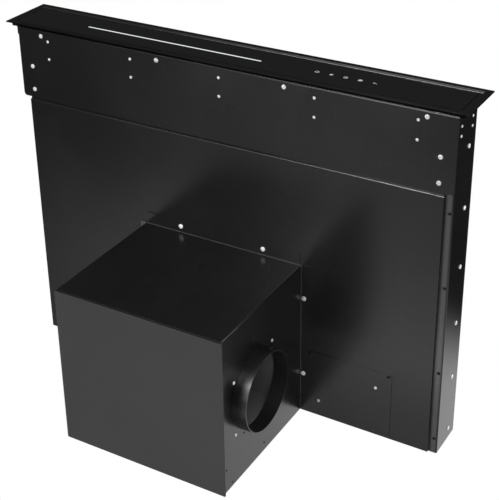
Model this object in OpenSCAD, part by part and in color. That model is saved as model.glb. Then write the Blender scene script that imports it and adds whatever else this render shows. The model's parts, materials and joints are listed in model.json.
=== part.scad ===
// Downdraft vent: a tower with a glass lid rises out of the worktop,
// a casing hangs below it, and a blower box sits on the front of the casing.
// The origin is the centre of the top plate at the worktop plane, with Z up
// and the blower box towards -Y.

/* [Top plate] */
// Width of the top plate
plate_w = 900; // [890:1:960]
// How far the plate's front edge stands in front of the casing
plate_front = 10; // [7:0.5:20]
// Thickness of the top plate
plate_t = 2; // [1.5:0.1:3]
// How far the tower's centre line lies in front of the plate's
front_shift = 5.5; // [3:0.5:7]
// Height of the frame under the plate
frame_h = 7; // [6:0.5:10]
// Thickness of the raised strip behind the lid
trim_t = 0.7; // [0.5:0.1:1.2]

/* [Lid] */
// Margin from the end of the plate to the lid
lid_margin = 18; // [15:0.5:20]
// How much less deep the lid is than the casing
lid_less = 2; // [1:0.5:5]
// Thickness of the lid's glass
lid_t = 4; // [3.5:0.1:5]
// Corner radius of the lid
lid_r = 8; // [4:0.5:12]
// Gap round the lid
lid_gap = 1; // [0.6:0.1:1.4]
// Gap from the light bar to the first touch mark
led_gap = 104.4; // [60:0.1:160]
// Width of the light bar
led_w = 4.6; // [3:0.1:6]
// Pitch of the touch marks
mark_pitch = 26.1; // [20:0.1:28]
// Diameter of a touch mark
mark_dia = 8; // [6:0.5:10]

/* [Casing] */
// Margin from the end of the plate to the end of the upper band
casing_margin = 19; // [15:0.5:23]
// Depth of the casing
casing_d = 79; // [77:0.5:80]
// Depth of the casing's bottom below the worktop plane
casing_h = 655; // [645:1:700]
// Height of the upper band
band_h = 137; // [125:1:150]
// Gap between the band and the lower panel
joint_gap = 4; // [2:0.5:6]
// How far the lower panel stands in front of the band
panel_proud = 2.3; // [1.6:0.1:3]
// Width of the duct behind the side cover
duct_w = 14; // [10:0.5:18]
// Thickness of the sheet metal
sheet = 1.5; // [1:0.1:1.8]

/* [Tower] */
// Margin from the end of the plate to the side of the tower
tower_margin = 50; // [47:0.5:55]
// How much less deep the tower is than the casing
tower_less = 19; // [17:0.5:23]
// Height of the tower's duct
tower_h = 305; // [290:1:308]
// Number of grease filters
filter_count = 3; // [3]
// Thickness of a grease filter
filter_t = 9; // [7:0.5:12]

/* [Lift] */
// Module of the rack teeth
gear_m = 1.5; // [1.4:0.05:1.6]
// Teeth of a pinion
pinion_teeth = 16; // [15:1:17]
// Width of rack and pinion
gear_w = 10; // [8:0.5:12]
// Diameter of the cross shaft
shaft_dia = 10; // [8:0.5:12]
// Distance from the tower's duct down to the cross shaft
shaft_gap = 23; // [21:0.5:30]

/* [Blower] */
// Width of the blower box
box_w = 327; // [322:1:332]
// Depth of the blower box
box_d = 272.7; // [268:0.1:290]
// Height of the blower box's bottom above the casing's
box_foot = 1; // [0:0.1:6]
// Height of the blower box
box_h = 308.7; // [305:0.1:310]
// Thickness of the front cover
cover_t = 2; // [1.5:0.1:3]
// Outer diameter of the outlet spigot
spigot_dia = 145; // [130:1:146]
// Length of the outlet spigot
spigot_len = 25; // [15:1:40]
// Diameter of the impeller
wheel_dia = 160; // [150:1:164]
// Number of impeller blades
blade_count = 36; // [24:1:40]
// Width of the scroll
scroll_w = 150; // [148:1:156]

/* [Hidden] */
$fn = 48;

// overrun of a cut, gap between parts that slide, radial play of a running shaft
over = 1;
slide_gap = 0.3;
run_gap = 0.05;

// colours
black_coat = [0.12, 0.12, 0.13];
grey_coat = [0.27, 0.27, 0.28];
glass_black = [0.05, 0.05, 0.06];
zinc = [0.72, 0.73, 0.75];
plastic_black = [0.08, 0.08, 0.08];
plastic_white = [0.9, 0.9, 0.88];

// plate and lid
plate_hw = plate_w / 2;
mid_y = -front_shift;
casing_w = plate_w - 2 * casing_margin;
tower_w = plate_w - 2 * tower_margin;
lid_w = plate_w - 2 * lid_margin;
lid_d = casing_d - lid_less;
tower_d = casing_d - tower_less;
plate_d = 2 * (plate_front + front_shift) + casing_d;
lid_hw = lid_w / 2;
lid_y0 = mid_y - lid_d / 2;
lid_y1 = mid_y + lid_d / 2;
lid_z0 = plate_t - lid_t;
trim_gap = 1.5;
trim_d = 8;
trim_end = 12;
trim_bevel = 0.6;
led_margin = 136;
led_x0 = led_margin - lid_hw;
led_y_share = 0.0403;
led_y = mid_y - led_y_share * lid_d;
led_t = lid_t * 0.375;
mark_count = 5;
mark_margin = 265;
mark_x0 = lid_hw - mark_margin;
led_len = mark_x0 - led_x0 - led_gap;
mark_y_share = 0.0143;
mark_y = mid_y - mark_y_share * lid_d;
mark_t = lid_t / 8;

// casing
case_hw = casing_w / 2;
face_y = mid_y - casing_d / 2;
back_y = mid_y + casing_d / 2;
body_hw = case_hw - duct_w;
inner_hw = body_hw - sheet;
skin_y = face_y + sheet;
wall_y = back_y - sheet;
panel_y = face_y - panel_proud;
z_frame = -frame_h;
z_joint = -frame_h - band_h;
z_panel = z_joint - joint_gap;
z_base = -casing_h;
frame_over = 3.3;
frame_margin = 9;
hem_w = min(frame_margin, plate_front - frame_over) - slide_gap;
plate_skin = plate_t / 2;
ledge_drop = lid_t - plate_t + slide_gap;
collar_t = 2;
collar_h = 16;
bend_r = 2.5;
lip = 13.5;
band_corner_r = 6;
return_d = 5.5;
rail_h = 35;
rail_d = 5.5;
rail_lap = 14;

// tower
tower_hw = tower_w / 2;
tower_y0 = mid_y - tower_d / 2;
tower_y1 = mid_y + tower_d / 2;
tower_play = 2;
carrier_h = 8;
tower_top = lid_z0 - carrier_h;
tower_base = tower_top - tower_h;
board_t = 1.6;
board_d = 20;
column_lip = 13.5;
leg_clear = 8;
window_top = 30;
window_h = 190;
window_gap = 15;
window_edge = 30;
window_w = (tower_w - 2 * window_edge - (filter_count - 1) * window_gap) / filter_count;
window_r = 8;
filter_lap = 5;
filter_rim = 8;
baffle_w = 7;
baffle_t = 2;
baffle_pitch = 16;
grip_w = 64;
grip_h = 20;
grip_drop = 14;
grip_slot = 6;
floor_lip = 14;

// lift
pitch_r = gear_m * pinion_teeth / 2;
shaft_back = 16.5;
shaft_y = wall_y - shaft_back;
rack_y = shaft_y - pitch_r;
rack_back = 12;
shaft_drop = shaft_gap - tower_base;
shaft_z = -shaft_drop;
shaft_r = shaft_dia / 2;
leg_d = shaft_y - shaft_r - leg_clear - tower_y0 - sheet;
rack_pitch = PI * gear_m;
backlash = 0.3;
leg_foot = 9;
leg_base = z_base + leg_foot;
gear_x1 = tower_hw - sheet;
gear_x0 = gear_x1 - gear_w;
rack_lead = 11;
rack_teeth = floor((shaft_z + rack_lead - leg_base) / rack_pitch);
rack_n0 = floor(rack_lead / rack_pitch);
rail_gap = 3;
rail_x0 = tower_hw + rail_gap;
guide_fore = 2.5;
guide_y0 = tower_y0 - guide_fore;
guide_w = 24;
guide_top = 5;
guide_foot = 10;
slider_h = 30;
slider_foot = 17;
bracket_h = 22;
bracket_gap = 4;
bracket_x0 = tower_hw + bracket_gap;
shaft_end = 3.5;
gearbox_side = 140;
gearbox_x = gearbox_side - tower_hw;
gearbox_w = 40;
gearbox_r = 13;
gearbox_h = 34;
lift_motor_r = 18;
lift_motor_h = 90;

// controls
access_side = 75;
access_h = 133.5;
access_t = 1;
access_foot = 3;
access_rim = 10;
control_end = 12;
control_h = 110;
control_d = 58;
control_wall = 2;
control_side = 14;
control_foot = 15;
control_z0 = z_base + control_foot;
standoff = 6;
gland_side = 49.5;
gland_x = inner_hw - gland_side;
gland_up = 36;
gland_z = z_base + gland_up;
gland_r = 9;
gland_bore = 4;
gland_out = 6;

// blower
box_hw = box_w / 2;
box_y0 = panel_y - box_d;
box_base = z_base + box_foot;
box_top = box_base + box_h;
box_drop = -box_top;
cover_lap = 2.5;
cover_lower = 2;
flange_t = 1.5;
flange_w = 12.5;
flange_top_h = 22.3;
flange_top_w = 320;
flange_foot = 16.5;
passage_rim = 24;
fan_side = 123.5;
fan_x = fan_side - box_hw;
fan_up = 119;
fan_z = box_base + fan_up;
scroll_t = 1.2;
plate2_t = 1.5;
spigot_fore = 104.05;
spigot_y = box_y0 + spigot_fore;
spigot_r = spigot_dia / 2;
spigot_t = 1.2;
spigot_up = 37;
spigot_z = fan_z + spigot_up;
spigot_ring = 19.5;
spigot_rim = 1;
spigot_bead = 0.8;
spigot_screw_out = 12.5;
spigot_screw_r = spigot_r + spigot_screw_out;
scroll_y0 = spigot_y - scroll_w / 2;
scroll_y1 = spigot_y + scroll_w / 2;
wheel_r = wheel_dia / 2;
scroll_near = 9;
scroll_far = 33;
scroll_r0 = wheel_r + scroll_near;
scroll_r1 = wheel_r + scroll_far;
tongue_a = 22;
tongue_r = 6;
scroll_end = box_hw - 2 * sheet;
blade_d = 14;
blade_t = 0.9;
wheel_w = 112;
wheel_back = 19;
wheel_y1 = scroll_y1 - wheel_back;
wheel_y0 = wheel_y1 - wheel_w;
ring_t = 2;
cup_r = 48.5;
cup_d = 67;
hub_r = 9;
hub_l = 13;
fan_shaft_r = 4;
motor_r = 42;
motor_flange_r = 55;
motor_flange_t = 3;
boss_r = 10;
boss_l = 5;
cup_play = 4;
inlet_r = 60;
inlet_lip = 24;
inlet_in = 16;
inlet_bend = 10;
cap_r = 15;
cap_l = 60;

// fasteners: head radius, head height, shank radius
band_head = 4.2;
side_head = 4;
small_head = 2.5;
strip_head = 3;
flange_head = 4.5;
access_head = 3;
spigot_head = 3;
rivet_head = 2.75;
dark_rivet = 1.8;
head_share = 0.5;
shank_share = 0.45;
rivet_share = 0.3;

band_screw_drop = 11.6;
band_screw_z = z_frame - band_screw_drop;
band_x_shares = [-0.879, -0.292, 0.292, 0.879];
band_end_share = 0.9385;
band_end_z_shares = [0.547, 0.88];
rivet_x_shares = [-0.8445, -0.4223, 0, 0.4223, 0.8445];
rivet_z_shares = [0.146, 0.396];
strip_z_shares = [0.2635, 0.478, 0.7395, 0.9525];
side_count = 6;
side_first = 71;
side_last = 22;
side_pitch = (casing_h - frame_h - side_first - side_last) / (side_count - 1);
side_back = 12.5;
side_y = mid_y + side_back;
side_small_y_shares = [0.165, 0.785];
side_small_z = [22, 39.3];
flange_x_shares = [-0.5375, 0.5375];
flange_side_z_shares = [0.228, 0.774];
flange_side_share = 0.4;
black_x_shares = [0.0386, 0.961];
black_z_share = 0.97;
silver_shares = [[0.819, 0.739], [0.146, 0.228]];
spigot_angles = [44.6, 142.5, 220.7, 318];
rear_count = 8;
rear_first = 24;
rear_last = 20;
case_shares = [[0.113, 0.954], [0.035, 0.848], [0.027, 0.153], [0.095, 0.033],
    [0.494, 0.058], [0.511, 0.972], [0.888, 0.985]];
near_rivet_shares = [1.036, 1.073, 1.092];
near_rivet_angles = [44.5, 117.5, 242];

// a block given by its two corners
module block(x, y, z) {
    translate([x[0], y[0], z[0]])
        cube([x[1] - x[0], y[1] - y[0], z[1] - z[0]]);
}

// a round bar along X, Y or Z
module bar_x(x, y, z, r) {
    translate([x[0], y, z]) rotate([0, 90, 0]) cylinder(h = x[1] - x[0], r = r);
}
module bar_y(x, y, z, r) {
    translate([x, y[0], z]) rotate([-90, 0, 0]) cylinder(h = y[1] - y[0], r = r);
}
module bar_z(x, y, z, r) {
    translate([x, y, z[0]]) cylinder(h = z[1] - z[0], r = r);
}

// an outline in Y and Z drawn out along X, and one in X and Z along Y
module along_x(x) {
    translate([x[0], 0, 0]) rotate([90, 0, 90]) linear_extrude(x[1] - x[0]) children();
}
module along_y(y) {
    translate([0, y[1], 0]) rotate([90, 0, 0]) linear_extrude(y[1] - y[0]) children();
}
module along_z(z) {
    translate([0, 0, z[0]]) linear_extrude(z[1] - z[0]) children();
}

// a flat rectangle with round corners, given by its two corners
module round_rect(x, y, r) {
    translate([x[0] + r, y[0]]) square([x[1] - x[0] - 2 * r, y[1] - y[0]]);
    translate([x[0], y[0] + r]) square([x[1] - x[0], y[1] - y[0] - 2 * r]);
    for (px = [x[0] + r, x[1] - r], py = [y[0] + r, y[1] - r])
        translate([px, py]) circle(r = r);
}

// a bent sheet's section: legs a along +x and b along +y, outer bend r at the origin
module bend(a, b, t, r) {
    difference() {
        union() {
            translate([r, 0]) square([a - r, t]);
            translate([0, r]) square([t, b - r]);
            intersection() {
                translate([r, r]) circle(r = r);
                square([r, r]);
            }
        }
        translate([r, r]) circle(r = r - t);
    }
}

// a pan-head fastener that points along -Z from its seat at the origin
module pan_head(r, shank_r, shank_l) {
    h = r * head_share;
    dome = (r * r + h * h) / (2 * h);
    intersection() {
        translate([0, 0, h - dome]) sphere(r = dome);
        cylinder(h = h, r = r);
    }
    translate([0, 0, -shank_l]) cylinder(h = shank_l, r = shank_r);
}

// a fastener on a front face, with its head towards -Y, and its hole
module front_screw(x, y, z, r, l = sheet) {
    translate([x, y, z]) rotate([90, 0, 0]) pan_head(r, r * shank_share, l);
}
module front_hole(x, y, z, r, l = sheet) {
    bar_y(x, [y - over, y + l + over], z, r * shank_share);
}
// a fastener on a right-hand face, with its head towards +X, and its hole
module right_screw(x, y, z, r, l = sheet) {
    translate([x, y, z]) rotate([0, 90, 0]) pan_head(r, r * shank_share, l);
}
module right_hole(x, y, z, r, l = sheet) {
    bar_x([x - l - over, x + over], y, z, r * shank_share);
}

// the plate with the opening for the lid; its edge is hemmed to twice the sheet,
// and the hem rests on the worktop
module top_plate() {
    color(black_coat) difference() {
        block([-plate_hw, plate_hw], [-plate_d / 2, plate_d / 2], [0, plate_t]);
        block([-plate_hw + hem_w, plate_hw - hem_w],
            [-plate_d / 2 + hem_w, plate_d / 2 - hem_w], [-over, plate_t - plate_skin]);
        along_z([-over, plate_t + over])
            round_rect([-lid_hw - lid_gap, lid_hw + lid_gap],
                [lid_y0 - lid_gap, lid_y1 + lid_gap], lid_r + lid_gap);
    }
}

// the frame that stands in the worktop's cut-out and stops the lid
module support_frame() {
    rim = frame_over;
    hw = plate_hw - frame_margin;
    color(black_coat) difference() {
        union() {
            block([-hw, hw], [face_y - rim, back_y + rim],
                [-frame_h, plate_t - plate_skin]);
            block([-case_hw - collar_t, -case_hw], [face_y, back_y],
                [-frame_h - collar_h, -frame_h]);
        }
        along_z([-ledge_drop, plate_t + over])
            round_rect([-lid_hw - lid_gap, lid_hw + lid_gap],
                [lid_y0 - lid_gap, lid_y1 + lid_gap], lid_r + lid_gap);
        along_z([-frame_h - over, plate_t + over])
            round_rect([-tower_hw - tower_play, tower_hw + tower_play],
                [tower_y0 - tower_play, tower_y1 + tower_play], bend_r);
    }
}

// the low strip on the plate behind the lid
module rear_trim() {
    y0 = lid_y1 + lid_gap + trim_gap;
    color(black_coat) along_x([-plate_hw + trim_end, plate_hw - trim_end])
        polygon([[y0, plate_t], [y0 + trim_d, plate_t],
            [y0 + trim_d - trim_bevel, plate_t + trim_t],
            [y0 + trim_bevel, plate_t + trim_t]]);
}

// places of the band's screws and rivets
function band_spots() = concat(
    [for (k = band_x_shares) [k * case_hw, band_screw_z]],
    [for (s = [-1, 1], k = band_end_z_shares)
        [s * band_end_share * case_hw, z_frame - k * band_h]]);
function rivet_spots() = [for (k = rivet_x_shares, j = rivet_z_shares)
    [k * case_hw, z_frame - j * band_h]];

module front_band() {
    color(black_coat) difference() {
        union() {
            along_y([face_y, skin_y]) difference() {
                round_rect([-case_hw, case_hw], [z_joint, z_frame - bend_r],
                    band_corner_r);
                translate([-case_hw, z_frame - bend_r - band_corner_r])
                    square([band_corner_r, band_corner_r]);
                translate([case_hw - band_corner_r, z_frame - bend_r - band_corner_r])
                    square([band_corner_r, band_corner_r]);
            }
            along_x([-case_hw, case_hw])
                translate([face_y, z_frame]) mirror([0, 1])
                    bend(return_d + sheet, bend_r + band_corner_r, sheet, bend_r);
        }
        for (s = [0, 1]) mirror([s, 0, 0])
            block([body_hw - lip - sheet - slide_gap, case_hw + over],
                [skin_y, skin_y + return_d + over], [z_frame - bend_r - over, z_frame + over]);
        for (p = band_spots()) front_hole(p[0], face_y, p[1], band_head);
        for (p = rivet_spots()) front_hole(p[0], face_y, p[1], rivet_head);
    }
}

module band_screws() {
    color(zinc)
        for (p = band_spots()) front_screw(p[0], face_y, p[1], band_head);
}

module band_rivets() {
    color(zinc)
        for (p = rivet_spots()) front_screw(p[0], face_y, p[1], rivet_head);
}

// the access plate's lower left corner
access_x0 = box_hw + flange_w;
access_w = body_hw - access_side - access_x0;
control_x0 = access_x0 + control_side;
control_w = access_w - control_side - control_end;
access_z0 = z_base + access_foot;
function access_black() = [for (k = black_x_shares)
    [access_x0 + k * access_w, access_z0 + black_z_share * access_h]];
function access_silver() = [for (k = silver_shares)
    [access_x0 + k[0] * access_w, access_z0 + k[1] * access_h]];

// places of the screws in the blower box's flanges
function flange_spots() = concat(
    [for (k = flange_x_shares) [k * flange_top_w / 2, box_top + flange_top_h / 2]],
    [for (s = [-1, 1], k = flange_side_z_shares)
        [s * (box_hw + flange_side_share * flange_w),
            box_top - k * (box_h - flange_foot)]]);

// the lower front panel, with the blower's air passage and the service opening
module lower_front_panel() {
    y1 = panel_y + sheet;
    color(black_coat) difference() {
        union() {
            along_x([-inner_hw, inner_hw])
                translate([panel_y, z_panel]) mirror([0, 1])
                    bend(skin_y - panel_y, z_panel - z_base, sheet, bend_r);
            for (s = [0, 1]) mirror([s, 0, 0])
                block([inner_hw - sheet, inner_hw], [panel_y + sheet / 2, skin_y],
                    [z_base, z_panel - bend_r]);
            block([-inner_hw, inner_hw], [panel_y + sheet / 2, skin_y],
                [z_base, z_base + sheet]);
        }
        along_y([panel_y - over, y1 + over])
            round_rect([-box_hw + passage_rim, box_hw - passage_rim],
                [box_base + passage_rim, box_top - passage_rim], band_corner_r);
        along_y([panel_y - over, y1 + over])
            round_rect([access_x0 + access_rim, access_x0 + access_w - access_rim],
                [access_z0 + access_rim, access_z0 + access_h - access_rim],
                band_corner_r);
        for (p = flange_spots()) front_hole(p[0], panel_y, p[1], flange_head);
        for (p = access_black()) front_hole(p[0], panel_y, p[1], access_head);
    }
}

module access_plate() {
    color(black_coat) difference() {
        along_y([panel_y - access_t, panel_y])
            round_rect([access_x0, access_x0 + access_w],
                [access_z0, access_z0 + access_h], bend_r);
        for (p = concat(access_black(), access_silver()))
            front_hole(p[0], panel_y - access_t, p[1], access_head);
    }
}

module access_screws() {
    color(plastic_black) for (p = access_black())
        front_screw(p[0], panel_y - access_t, p[1], access_head, access_t + sheet);
    color(zinc) for (p = access_silver())
        front_screw(p[0], panel_y - access_t, p[1], access_head, access_t);
}

// places of the screws on the side cover
function side_large() = [for (i = [0:side_count - 1])
    [side_y, z_frame - side_first - i * side_pitch]];
function side_small() = [for (k = side_small_y_shares, z = side_small_z)
    [skin_y + k * (wall_y - skin_y), z_frame - z]];
function strip_spots() = [for (k = strip_z_shares) z_frame - k * (casing_h - frame_h)];
strip_x = case_hw - duct_w * 0.43;

// the bent cover over the cable duct on the right
module side_cover() {
    color(black_coat) difference() {
        along_z([z_base, z_frame])
            translate([case_hw, skin_y]) mirror([1, 0])
                bend(duct_w, wall_y - skin_y, sheet, bend_r);
        for (p = side_large()) right_hole(case_hw, p[0], p[1], side_head);
        for (p = side_small()) right_hole(case_hw, p[0], p[1], small_head);
        for (z = strip_spots()) front_hole(strip_x, skin_y, z, strip_head);
    }
}

module cover_spacers() {
    color(zinc) for (p = side_large()) difference() {
        bar_x([body_hw, case_hw - sheet], p[0], p[1], side_head + sheet / 2);
        bar_x([body_hw - over, case_hw], p[0], p[1], side_head * shank_share);
    }
}

module side_screws() {
    color(zinc) {
        for (p = side_large())
            right_screw(case_hw, p[0], p[1], side_head, duct_w / 2);
        for (p = side_small()) right_screw(case_hw, p[0], p[1], small_head);
    }
}

module strip_screws() {
    color(plastic_black)
        for (z = strip_spots()) front_screw(strip_x, skin_y, z, strip_head);
}

// closes the wider band on the left
module left_cheek() {
    color(black_coat) along_y([skin_y, wall_y])
        translate([-case_hw, z_joint])
            bend(duct_w, z_frame - z_joint, sheet, bend_r);
}

// places of the rivets that hold the rear panel to the sides' lips
function rear_spots() = [for (s = [-1, 1], i = [0:rear_count - 1])
    [s * (body_hw - lip / 2 - sheet), z_frame - rear_first
        - i * (casing_h - frame_h - rear_first - rear_last) / (rear_count - 1)]];
module rear_hole(x, z) {
    bar_y(x, [wall_y - sheet - over, back_y + over], z, dark_rivet * shank_share);
}

module side_panel() {
    difference() {
        along_z([z_base, z_frame]) {
            translate([body_hw, skin_y]) mirror([1, 0])
                bend(lip + sheet, casing_d / 2, sheet, bend_r);
            translate([body_hw, wall_y]) mirror([1, 0]) mirror([0, 1])
                bend(lip + sheet, casing_d / 2, sheet, bend_r);
        }
        for (p = rear_spots()) rear_hole(p[0], p[1]);
    }
}
module left_side_panel() { color(black_coat) mirror([1, 0, 0]) side_panel(); }
module right_side_panel() { color(black_coat) side_panel(); }

module rear_panel() {
    color(black_coat) difference() {
        union() {
            block([-body_hw, case_hw], [wall_y, back_y], [z_base, z_frame]);
            block([-case_hw, 0], [wall_y, back_y], [z_joint, z_frame]);
        }
        bar_y(gland_x, [wall_y - over, back_y + over], gland_z, gland_r * 0.7);
        for (p = rear_spots()) rear_hole(p[0], p[1]);
    }
}

module base_panel() {
    w = body_hw - lip - sheet;
    color(black_coat) {
        block([-inner_hw, inner_hw], [skin_y + sheet, wall_y - sheet],
            [z_base, z_base + sheet]);
        block([-w, w], [skin_y, wall_y], [z_base, z_base + sheet]);
    }
}

module joint_rail() {
    w = body_hw - lip - sheet;
    color(black_coat) along_x([-w, w])
        translate([skin_y, z_panel + rail_lap - rail_h])
            bend(rail_d, rail_h, sheet, bend_r);
}

// a channel that guides the tower's sliders
module guide_rail() {
    x1 = inner_hw;
    color(zinc) along_z([z_base + guide_foot, z_frame - guide_top])
        difference() {
            translate([rail_x0, guide_y0]) square([x1 - rail_x0, guide_w]);
            translate([rail_x0 - over, guide_y0 + sheet])
                square([x1 - sheet - rail_x0 + over, guide_w - 2 * sheet]);
        }
}
module left_guide_rail() { mirror([1, 0, 0]) guide_rail(); }
module right_guide_rail() { guide_rail(); }

module shaft_brackets() {
    color(plastic_black) for (s = [0, 1]) mirror([s, 0, 0])
        along_x([bracket_x0, inner_hw]) translate([shaft_y, shaft_z])
            difference() {
                union() {
                    circle(r = bracket_h / 2);
                    translate([-bracket_h / 2, -bracket_h])
                        square([bracket_h, bracket_h]);
                }
                circle(r = shaft_r + run_gap);
            }
}

module lift_gearbox() {
    color(plastic_black) difference() {
        union() {
            bar_x([gearbox_x - gearbox_w / 2, gearbox_x + gearbox_w / 2],
                shaft_y, shaft_z, gearbox_r);
            block([gearbox_x - gearbox_w / 2, gearbox_x + gearbox_w / 2],
                [shaft_y - gearbox_r, wall_y], [shaft_z - gearbox_h, shaft_z]);
        }
        bar_x([gearbox_x - gearbox_w, gearbox_x + gearbox_w],
            shaft_y, shaft_z, shaft_r + run_gap);
    }
}

module lift_motor() {
    z1 = shaft_z - gearbox_h;
    y = wall_y - lift_motor_r - sheet;
    color(zinc) {
        bar_z(gearbox_x, y, [z1 - lift_motor_h, z1], lift_motor_r);
        bar_z(gearbox_x, y, [z1 - lift_motor_h - sheet, z1 - lift_motor_h],
            lift_motor_r / 2);
    }
}

// an open tray on the rear panel that holds the control board
module control_box() {
    w = control_wall;
    x = [control_x0, control_x0 + control_w];
    z = [control_z0, control_z0 + control_h];
    y = [wall_y - control_d, wall_y];
    color(plastic_black) {
        difference() {
            block(x, y, z);
            block([x[0] + w, x[1] - w], [y[0] - over, y[1] - w], [z[0] + w, z[1] - w]);
        }
        for (px = [x[0] + control_w / 8, x[1] - control_w / 8],
            pz = [z[0] + control_h / 8, z[1] - control_h / 8])
            bar_y(px, [y[1] - w - standoff, y[1] - w / 2], pz, standoff / 2);
    }
}

module control_board() {
    y1 = wall_y - control_wall - standoff;
    y0 = y1 - board_t;
    x0 = control_x0 + control_w / 16;
    z0 = control_z0 + control_h / 16;
    color([0.1, 0.35, 0.2]) {
        block([x0, x0 + control_w * 7 / 8], [y0, y1], [z0, z0 + control_h * 7 / 8]);
        block([x0 + control_w * 0.5, x0 + control_w * 0.7],
            [y0 - control_d / 3, y0 + board_t / 2],
            [z0 + control_h / 2, z0 + control_h * 0.75]);
        for (i = [0:2])
            bar_y(x0 + control_w * (0.12 + i * 0.14), [y0 - control_d / 4, y0 + board_t / 2],
                z0 + control_h * 0.68, control_w * 0.05);
        block([x0 + control_w * 0.08, x0 + control_w * 0.32],
            [y0 - control_d / 6, y0 + board_t / 2],
            [z0 + control_h * 0.4, z0 + control_h * 0.55]);
    }
}

module terminal_block() {
    y0 = wall_y - control_wall - standoff - board_t;
    d = control_d / 4;
    x0 = control_x0 + control_w * 0.15;
    z0 = control_z0 + control_h * 0.12;
    w = control_w * 0.7;
    n = 8;
    color(plastic_white) difference() {
        block([x0, x0 + w], [y0 - d, y0], [z0, z0 + control_h * 0.16]);
        for (i = [0:n - 1])
            bar_y(x0 + w * (i + 0.5) / n, [y0 - d - over, y0 - d / 2],
                z0 + control_h * 0.08, w / n * 0.3);
    }
}

module cable_gland() {
    color(plastic_black) difference() {
        union() {
            translate([gland_x, back_y + gland_out / 2, gland_z]) rotate([90, 0, 0])
                cylinder(h = gland_out / 2, r = gland_r, $fn = 6);
            bar_y(gland_x, [wall_y - gland_out, back_y + gland_out], gland_z,
                gland_r * 0.7);
            translate([gland_x, wall_y, gland_z]) rotate([90, 0, 0])
                cylinder(h = gland_out * 0.6, r = gland_r, $fn = 6);
        }
        bar_y(gland_x, [wall_y - gland_out - over, back_y + gland_out + over],
            gland_z, gland_bore);
    }
}

// places of the dark rivets on the blower box's right side
function case_spots() = concat(
    [for (k = case_shares) [box_y0 + k[0] * box_d, box_base + k[1] * box_h]],
    [for (i = [0:2]) let (r = near_rivet_shares[i] * spigot_r, a = near_rivet_angles[i])
        [spigot_y + r * cos(a), spigot_z + r * sin(a)]]);
function spigot_spots() = [for (a = spigot_angles)
    [spigot_y + spigot_screw_r * cos(a), spigot_z + spigot_screw_r * sin(a)]];

// the folded shell of the blower box with its flanges
module blower_case() {
    fy = [panel_y - flange_t, panel_y];
    color(black_coat) difference() {
        union() {
            along_y([box_y0, panel_y]) difference() {
                round_rect([-box_hw, box_hw], [box_base, box_top], bend_r);
                round_rect([-box_hw + sheet, box_hw - sheet],
                    [box_base + sheet, box_top - sheet], bend_r - sheet);
            }
            block([-flange_top_w / 2, flange_top_w / 2], fy,
                [box_top - sheet, box_top + flange_top_h]);
            for (s = [0, 1]) mirror([s, 0, 0])
                block([box_hw - sheet, box_hw + flange_w], fy,
                    [box_base + flange_foot, box_top]);
        }
        bar_x([box_hw - sheet - over, box_hw + over], spigot_y, spigot_z,
            spigot_r + spigot_bead + slide_gap);
        for (p = flange_spots()) front_hole(p[0], panel_y - flange_t, p[1], flange_head);
        for (p = case_spots()) right_hole(box_hw, p[0], p[1], dark_rivet);
        for (p = spigot_spots()) right_hole(box_hw, p[0], p[1], spigot_head);
    }
}

module blower_front_cover() {
    color(grey_coat) along_y([box_y0 - cover_t, box_y0])
        round_rect([-box_hw - cover_lap, box_hw + cover_lap],
            [box_base - cover_lower, box_top - cover_lower], bend_r);
}

module flange_screws() {
    color(zinc) for (p = flange_spots())
        front_screw(p[0], panel_y - flange_t, p[1], flange_head, flange_t + sheet);
}

// the small rivets of the box's side and of the rear panel
module case_rivets() {
    color(plastic_black) {
        for (p = case_spots()) right_screw(box_hw, p[0], p[1], dark_rivet);
        for (p = rear_spots()) translate([p[0], back_y, p[1]]) rotate([-90, 0, 0])
            pan_head(dark_rivet, dark_rivet * shank_share, 2 * sheet);
    }
}

module spigot_screws() {
    color(zinc) for (p = spigot_spots())
        right_screw(box_hw, p[0], p[1], spigot_head, 2 * sheet);
}

// the round collar that takes the exhaust hose: its ring lies behind the wall of
// the box, a step centres it in the wall's hole, and its mouth is rolled inwards
module outlet_spigot() {
    r = spigot_r;
    ri = r - spigot_t;
    color(black_coat) difference() {
        translate([box_hw, spigot_y, spigot_z]) rotate([0, 90, 0])
            rotate_extrude($fn = 96) {
                translate([ri, -2 * sheet]) square([spigot_ring + spigot_t, sheet]);
                translate([ri, -sheet]) square([spigot_t + spigot_bead, sheet]);
                translate([ri, -sheet]) square([spigot_t, spigot_len + sheet]);
                translate([ri - spigot_rim / 2, spigot_len - spigot_rim])
                    square([spigot_t + spigot_rim / 2, spigot_rim]);
            }
        for (p = spigot_spots())
            right_hole(box_hw - sheet, p[0], p[1], spigot_head);
    }
}

// the scroll: its radius grows from the tongue round to the top
turn = 270 - tongue_a;
function scroll_r(a) = scroll_r0 + (scroll_r1 - scroll_r0) * a / turn;
function scroll_point(a, grow) = [
    fan_x + (scroll_r(a) + grow) * cos(-tongue_a - a),
    fan_z + (scroll_r(a) + grow) * sin(-tongue_a - a)];
scroll_steps = 40;
tongue_z = scroll_point(0, 0)[1];
function scroll_line(grow) = concat(
    [[scroll_end, tongue_z - grow]],
    [[scroll_point(0, 0)[0] + tongue_r, tongue_z - grow]],
    [for (i = [1:scroll_steps]) scroll_point(turn * i / scroll_steps, grow)],
    [[scroll_end, fan_z + scroll_r1 + grow]]);
function reversed(v) = [for (i = [len(v) - 1:-1:0]) v[i]];

module scroll_wall() {
    color(zinc) along_y([scroll_y0, scroll_y1])
        polygon(concat(scroll_line(scroll_t), reversed(scroll_line(0))));
}

module front_scroll_plate() {
    color(zinc) along_y([scroll_y0 - plate2_t, scroll_y0])
        polygon(scroll_line(scroll_t + sheet));
}

module rear_scroll_plate() {
    color(zinc) along_y([scroll_y1, scroll_y1 + plate2_t]) difference() {
        polygon(scroll_line(scroll_t + sheet));
        translate([fan_x, fan_z]) circle(r = inlet_r - scroll_t + inlet_bend + 2 * slide_gap);
    }
}

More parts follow.
